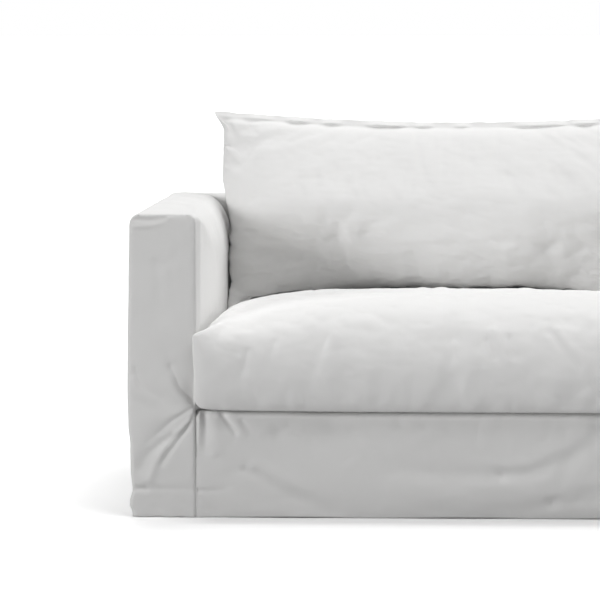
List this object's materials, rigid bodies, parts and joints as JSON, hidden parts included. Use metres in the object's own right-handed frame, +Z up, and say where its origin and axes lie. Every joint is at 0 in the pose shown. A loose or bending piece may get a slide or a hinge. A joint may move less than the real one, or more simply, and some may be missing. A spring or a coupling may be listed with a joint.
{
  "type": "sofa slipcover",
  "caption": "Loose fitted slipcover for a low box-armed two-seat sofa, hollow below, with a long seat cushion and a flanged back cushion.",
  "frame": {"origin": "centre of the bounding box at floor level, where the hem meets the floor", "axes": "+Z up, +X along the sofa's width towards the right arm as one faces it, +Y from the front to the back"},
  "size_m": [1.4245, 1.0212, 0.862],
  "materials": {
    "cover_cloth": "plain woven cotton and linen, matt, washed soft, off-white",
    "seat_cloth": "the same plain cotton and linen cloth over a full seat cushion",
    "back_cloth": "the same plain cotton and linen cloth, gathered along its flanged seam"
  },
  "bodies": {
    "root": {"arm_wrap_left": "cover_cloth", "arm_wrap_right": "cover_cloth", "arm_front_left": "cover_cloth", "arm_front_right": "cover_cloth", "skirt_front": "cover_cloth", "deck": "cover_cloth", "back_wrap": "cover_cloth", "seat_cushion": "seat_cloth", "back_cushion": "back_cloth"}
  },
  "joints": []
}
